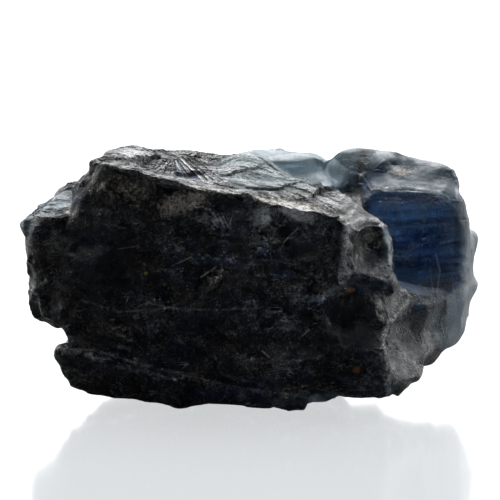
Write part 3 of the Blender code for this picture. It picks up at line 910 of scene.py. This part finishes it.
drawnStrokes = strokeRows()
wearSizes = {  # millimetres, and the share covered
    "flecks": {"Size": 0.50, "Clump_Size": 1.5, "Cover": 0.42},
    "tinyFlecks": {"Size": 0.26, "Clump_Size": 2.2, "Cover": 0.46},
    "scratches": {"Spacing": 0.45, "Length": 4.0, "Cover": 0.52},
    "crossed": {"Spacing": 0.6, "Length": 2.5, "Cover": 0.48},
    "specks": {"Spacing": 0.30, "Size": 0.42},
    "points": {"Spacing": 0.15, "Size": 0.50},
    "grains": {"Size": 0.55},
    "smallGrains": {"Size": 0.20},
}


def sapphireMaterial(name):
    kind = crystals[name]
    material = bpy.data.materials.new(f"sapphire{name}")
    material.use_nodes = True
    tree = material.node_tree
    shader, output = tree.nodes["Principled BSDF"], tree.nodes["Material Output"]
    spot = tree.nodes.new("ShaderNodeTexCoord").outputs["Object"]
    place = vectorCalc(tree, "SCALE", spot, 1.0 / mm)
    product, add, less, most, _ = mathsFor(tree)
    spread = functools.partial(remap, tree)

    def mask(label):
        return put(tree, "ShaderNodeAttribute", {"attribute_name": label}).outputs["Fac"]

    @functools.cache  # each noise is made once and used again
    def noise(scale, detail=3.0, roughness=0.5, vector=place):
        return noiseOf(tree, vector, scale, detail, roughness)

    def turned(*angles):
        return put(tree, "ShaderNodeMapping", Vector=place, Rotation=angles).outputs[0]

    def stretched(vector, *scale):
        return put(tree, "ShaderNodeMapping", Vector=vector, Scale=scale).outputs[0]

    # A mask whose edge is broken up by noise
    def ragged(label, amount=0.7, scale=2.0, low=0.25, high=0.8):
        return spread(add(mask(label), product(less(noise(scale, 4.0, 0.65), 0.5), amount)), low, high)

    def laid(under, share, tint):
        return colourMix(tree, share, under, finish[tint])

    def worked(group, vector, sizes, **inputs):
        return useGroup(tree, group, Vector=vector, **wearSizes[sizes], **inputs)

    fine, coarse, cloud = noise(5.0, 4.0, 0.62), noise(0.45), noise(1.5, 4.0, 0.65)
    speckled = ragged("speckled", 0.9, 1.5, 0.2, 0.8)
    calm = mask("calm")
    lively = less(1.0, product(calm, 0.6))
    top = product(mask("skyward"), lively)
    crest = product(mask("crest"), spread(noise(3.0, 4.0, 0.65), 0.50, 0.62))
    streak = noise(1.3, 4.0, 0.66, stretched(turned(0.0, 0.0, 0.445), 0.40, 0.85, 0.85))

    # The crystal's own colour, then crusts and dust, with painted shade in some dark spots and a painted
    # highlight on the upward-facing top
    colour = laid(finish["body"], spread(coarse, 0.5, 0.68), "navy")
    colour = laid(colour, spread(cloud, 0.50, 0.70), "haze")
    if name == "Pale":
        colour = laid(finish["blockTeal"], spread(cloud, 0.35, 0.6, 0.3), "tealClear")
    if name == "Clear":
        layers = noise(1.3, 5.0, 0.62, stretched(turned(0.0, 0.06, 0.0), 0.16, 0.5, 1.5))
        colour = laid(finish["nearBlack"], spread(layers, 0.40, 0.62), "deep")
        # the block's upward faces are painted lighter teal, partly a painted highlight where they face up
        colour = laid(colour, product(mask("skyward"), spread(fine, 0.3, 0.7, 0.55, 0.95)), "blockTeal")
    teal = product(ragged("teal", 0.6, 1.5, 0.2, 0.7), spread(fine, 0.3, 0.65, 0.4, 1.0))
    mottle = spread(noise(7.0, 3.0, 0.65), 0.36, 0.60, 0.35, 1.0)
    patch = spread(noise(0.6), 0.40, 0.62, 0.15, 1.0)
    # 1 away from the dark marks, which are partly painted shade under the overhang and in the hollow
    undarkened = less(1.0, product(ragged("dark", 0.5, 1.5, 0.15, 0.75), 0.9))
    dust = product(spread(noise(8.0, 3.0, 0.6), 0.52, 0.68), spread(noise(1.1, 4.0, 0.65), 0.44, 0.60))
    for tint, share in (
            ("glassyBlue", product(ragged("navy"), 0.9)),
            ("tealClear" if kind["density"] else "teal", product(teal, 0.9 if kind["zone"] else 0.75)),
            # darker spots, partly painted shade under the overhang and in the hollow
            ("nearBlack" if kind["density"] else "body", product(ragged("dark", 0.5, 1.5), 0.85)),
            ("grey", product(speckled, mottle, spread(cloud, 0.36, 0.66, 0.15, 0.95))),
            ("dust", product(dust, undarkened, lively, 0.70)),
            # grey over the upward-facing top: partly its grey fibres, partly a painted highlight where it
            # faces up
            ("grey", product(top, spread(streak, 0.46, 0.58, 0.0, 0.9), patch, undarkened)),
            ("poolBlue", product(ragged("pool", 0.5), 0.9)),
            ("beige", product(ragged("beige", 1.9, 3.0, 0.2, 0.75), spread(fine, 0.40, 0.58, 0.15, 1.0))),
            ("rust", ragged("rust", 0.8, 3.0, 0.35))):
        colour = laid(colour, share, tint)

    # Wear: flecks, scratches and bright points, then whitish patches and lines, among them painted glints and
    # the painted glow of the block's edge
    whiteLineShare = mask("whiteLine")
    busy = most(speckled, whiteLineShare)
    scratches = worked("scratches", turned(0.1, 0.15, 0.2), "scratches")
    specks = worked("specks", place, "specks", Cover=add(0.03, product(busy, 0.5)))
    points = worked("specks", turned(0.5, 0.2, 0.9), "points", Cover=add(0.06, product(busy, 0.42)))
    worn = most(product(worked("flecks", place, "flecks"), 0.30),
                product(worked("flecks", turned(0.7, 0.4, 1.1), "tinyFlecks"), 0.38),
                product(scratches, 0.65),
                product(worked("scratches", turned(0.3, 0.9, 0.4), "crossed"), 0.55),
                product(specks, spread(noise(2.0, 4.0, 0.65), 0.3, 0.7, 0.2, 0.95)),
                product(crest, 0.55),
                product(points, spread(cloud, 0.42, 0.62, 0.05, 0.85)))
    zone = spread(noise(0.25, 2.0), 0.42, 0.60, 0.20, 1.25)
    worn = product(worn, add(1.0, product(speckled, 0.8)), lively, zone, undarkened)
    colour = laid(colour, worn, "frostAndGlint")
    # whitish patches, with painted glints on the block face and in the blue pool
    frostAndGlint = product(ragged("frostAndGlint", 1.6, 3.0, 0.2, 0.85), spread(fine, 0.34, 0.58, 0.3, 0.95))
    colour = laid(colour, frostAndGlint, "frostAndGlint")
    crisp = spread(spread(noise(8.0, 3.0, 0.6), 0.42, 0.60), 0.0, 1.0, 0.12, 1.0)
    gaps = spread(noise(3.0, 4.0, 0.65), 0.38, 0.58, 0.15, 1.0)
    colour = laid(colour, product(spread(whiteLineShare, 0.25, 0.9), crisp, gaps, 0.95), "frostAndGlint")

    # Each stroke goes only in the material that it lies on
    broken = spread(noise(6.0), 0.36, 0.52, 0.3, 1.0)
    # dark fan lines: painted shade in the grooves, also used for their roughness and depth
    fanGrooveShade = 0.0
    for start, end, width, strength, tint in drawnStrokes:
        if kind["zone"] in clearPlaces(np.array((start, (start + end) / 2, end))):
            drawn = useGroup(tree, "stroke", Vector=place, Start=tuple(start), Run=tuple(end - start),
                             Width=width)
            fanGrooveShade = most(fanGrooveShade, drawn) if tint == "fanGrooveShade" else fanGrooveShade
            colour = laid(colour, product(drawn, broken, strength), tint)
    if kind["density"]:
        colour = laid(colour, product(mask("pale"), spread(cloud, 0.3, 0.6, 0.6, 1.0)), "pale")
        colour = colourMix(tree, ragged("clearShare", 0.7, 1.5, 0.35, 0.95), finish["haze"], colour)
    see = most(product(mask("thin"), 0.5 if kind["density"] else 0.12), mask("clear"))
    see = product(see, spread(noise(0.8, 4.0, 0.6), 0.34, 0.62, 0.4, 1.0))
    tree.links.new(laid(colour, see, "clear"), shader.inputs["Base Color"])

    grit = less(spread(noise(0.8, 4.0, 0.6), 0.38, 0.62, 0.22, 0.50), product(mask("polish"), 0.10))
    grit = add(grit, add(product(worn, 0.25), product(calm, 0.20)))
    topShare = product(top, 0.9)
    drawnGrit = spread(streak, 0.43, 0.60, 0.85, 0.20)
    grit = add(product(grit, less(1.0, topShare)), product(drawnGrit, topShare))
    grit = most(grit, product(ragged("dark", 0.4), top, 0.9), product(most(ragged("matte", 0.4), fanGrooveShade), 0.95))
    tree.links.new(grit, shader.inputs["Roughness"])

    # Leaning grains, fine noise and the grooves of the scratches, in millimetres
    plain = less(1.0, most(product(mask("polish"), 0.8), product(calm, 0.45)))
    patchy = product(spread(noise(0.6), 0.42, 0.62, 0.12, 1.0), plain)
    grains = add(product(worked("grains", turned(0.4, 0.3, 0.5), "grains"), 0.24),
                 product(worked("grains", turned(0.1, 0.6, 0.2), "smallGrains"), 0.26))
    height = product(add(grains, product(fine, 0.12)), patchy)
    height = add(height, product(streak, mask("streaked"), 0.50), product(scratches, -0.015),
                 product(fanGrooveShade, -0.12), product(noise(6.0), most(speckled, mask("matte")), 0.12))
    back = put(tree, "ShaderNodeSeparateXYZ", Vector=place).outputs[1]
    swell = add(product(noise(0.5, 2.0), 0.35), product(back, 0.15))
    height = add(height, product(swell, calm, mask("skyward")))
    bump = put(tree, "ShaderNodeBump", Height=height, Strength=1.0, Distance=mm)
    tree.links.new(bump.outputs[0], shader.inputs["Normal"])
    shader.inputs["IOR"].default_value = crystalSizes["ior"]
    shader.inputs["Specular IOR Level"].default_value = kind["specular"]
    shader.inputs["Transmission Weight"].default_value = kind["transmission"]
    if kind["density"]:
        absorb = put(tree, "ShaderNodeVolumeAbsorption", Density=kind["density"],
                     Color=(*crystalSizes["absorption"], 1.0))
        tree.links.new(absorb.outputs[0], output.inputs["Volume"])
    return material


stone = fineStone({f"{name} Material": sapphireMaterial(name) for name in crystals})
finishMasks(stone.data)
report("finish masks")
writePoints(stone.data, readPoints(stone.data) * mm)
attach(stone, "root")
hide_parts("sapphire_crystal")


# Stage and light
stageSizes = {
    "half": 3.0,
    "paleFloor": (0.12, 0.125, 0.13),
    "dimFloor": (0.028, 0.029, 0.031),
    "floorTint": (0.96, 0.985, 1.0),
    "floorGlow": 0.62,
    "floorRoughness": 0.12,
    "floorIor": 1.5,
    "skyTint": (0.97, 0.985, 1.0),
    "seenGlow": 0.975,  # the plain background
    "backGlow": 1.95,  # what lights the stone from behind
}


def makeFloor():
    bpy.ops.mesh.primitive_plane_add(size=2 * stageSizes["half"], location=(0, 0, 0))
    floor = bpy.context.object
    floor.name = "floor"
    material = bpy.data.materials.new("paleFloor")
    material.use_nodes = True
    tree = material.node_tree
    shader = tree.nodes["Principled BSDF"]
    # The camera sees a bright floor and the stone a dim one
    seen = tree.nodes.new("ShaderNodeLightPath").outputs["Is Camera Ray"]
    shade = colourMix(tree, seen, stageSizes["dimFloor"], stageSizes["paleFloor"])
    tree.links.new(shade, shader.inputs["Base Color"])
    shader.inputs["Roughness"].default_value = stageSizes["floorRoughness"]
    shader.inputs["IOR"].default_value = stageSizes["floorIor"]
    shader.inputs["Emission Color"].default_value = (*stageSizes["floorTint"], 1.0)
    glow = calc(tree, "MULTIPLY", seen, stageSizes["floorGlow"])
    tree.links.new(glow, shader.inputs["Emission Strength"])
    floor.data.materials.append(material)


lampSizes = {  # place, width, watts
    "softbox": ((-0.05, 0.25, 0.45), 0.45, 3.5),
    "side": ((0.42, 0.10, 0.16), 0.25, 0.50),
    "fill": ((-0.22, -0.30, 0.45), 0.08, 0.16),
}


def makeLight():
    world = bpy.data.worlds.new("studio")
    bpy.context.scene.world = world
    world.use_nodes = True
    tree = world.node_tree
    tree.nodes.clear()
    coords = tree.nodes.new("ShaderNodeTexCoord").outputs["Generated"]
    split = put(tree, "ShaderNodeSeparateXYZ", Vector=coords)
    product, add, less, most, _ = mathsFor(tree)
    back = remap(tree, split.outputs["Y"], 0.02, 0.8, 0.002, stageSizes["backGlow"])
    top = product(remap(tree, split.outputs["Z"], 0.55, 1.0), remap(tree, split.outputs["Y"], -0.30, 0.20))
    seen = tree.nodes.new("ShaderNodeLightPath").outputs["Is Camera Ray"]
    glow = add(product(most(back, top), less(1.0, seen)), product(seen, stageSizes["seenGlow"]))
    sky = put(tree, "ShaderNodeBackground", Color=(*stageSizes["skyTint"], 1.0), Strength=glow)
    put(tree, "ShaderNodeOutputWorld", Surface=sky.outputs[0])
    for name, (place, size, energy) in lampSizes.items():
        lamp = bpy.data.lights.new(name, "AREA")
        lamp.size, lamp.energy = size, energy
        box = addObject(name, lamp)
        box.location = place
        box.rotation_euler = Vector(place).to_track_quat("Z", "Y").to_euler()


makeFloor()
makeLight()
bpy.context.scene.view_settings.view_transform = "Standard"
report("stage and light")
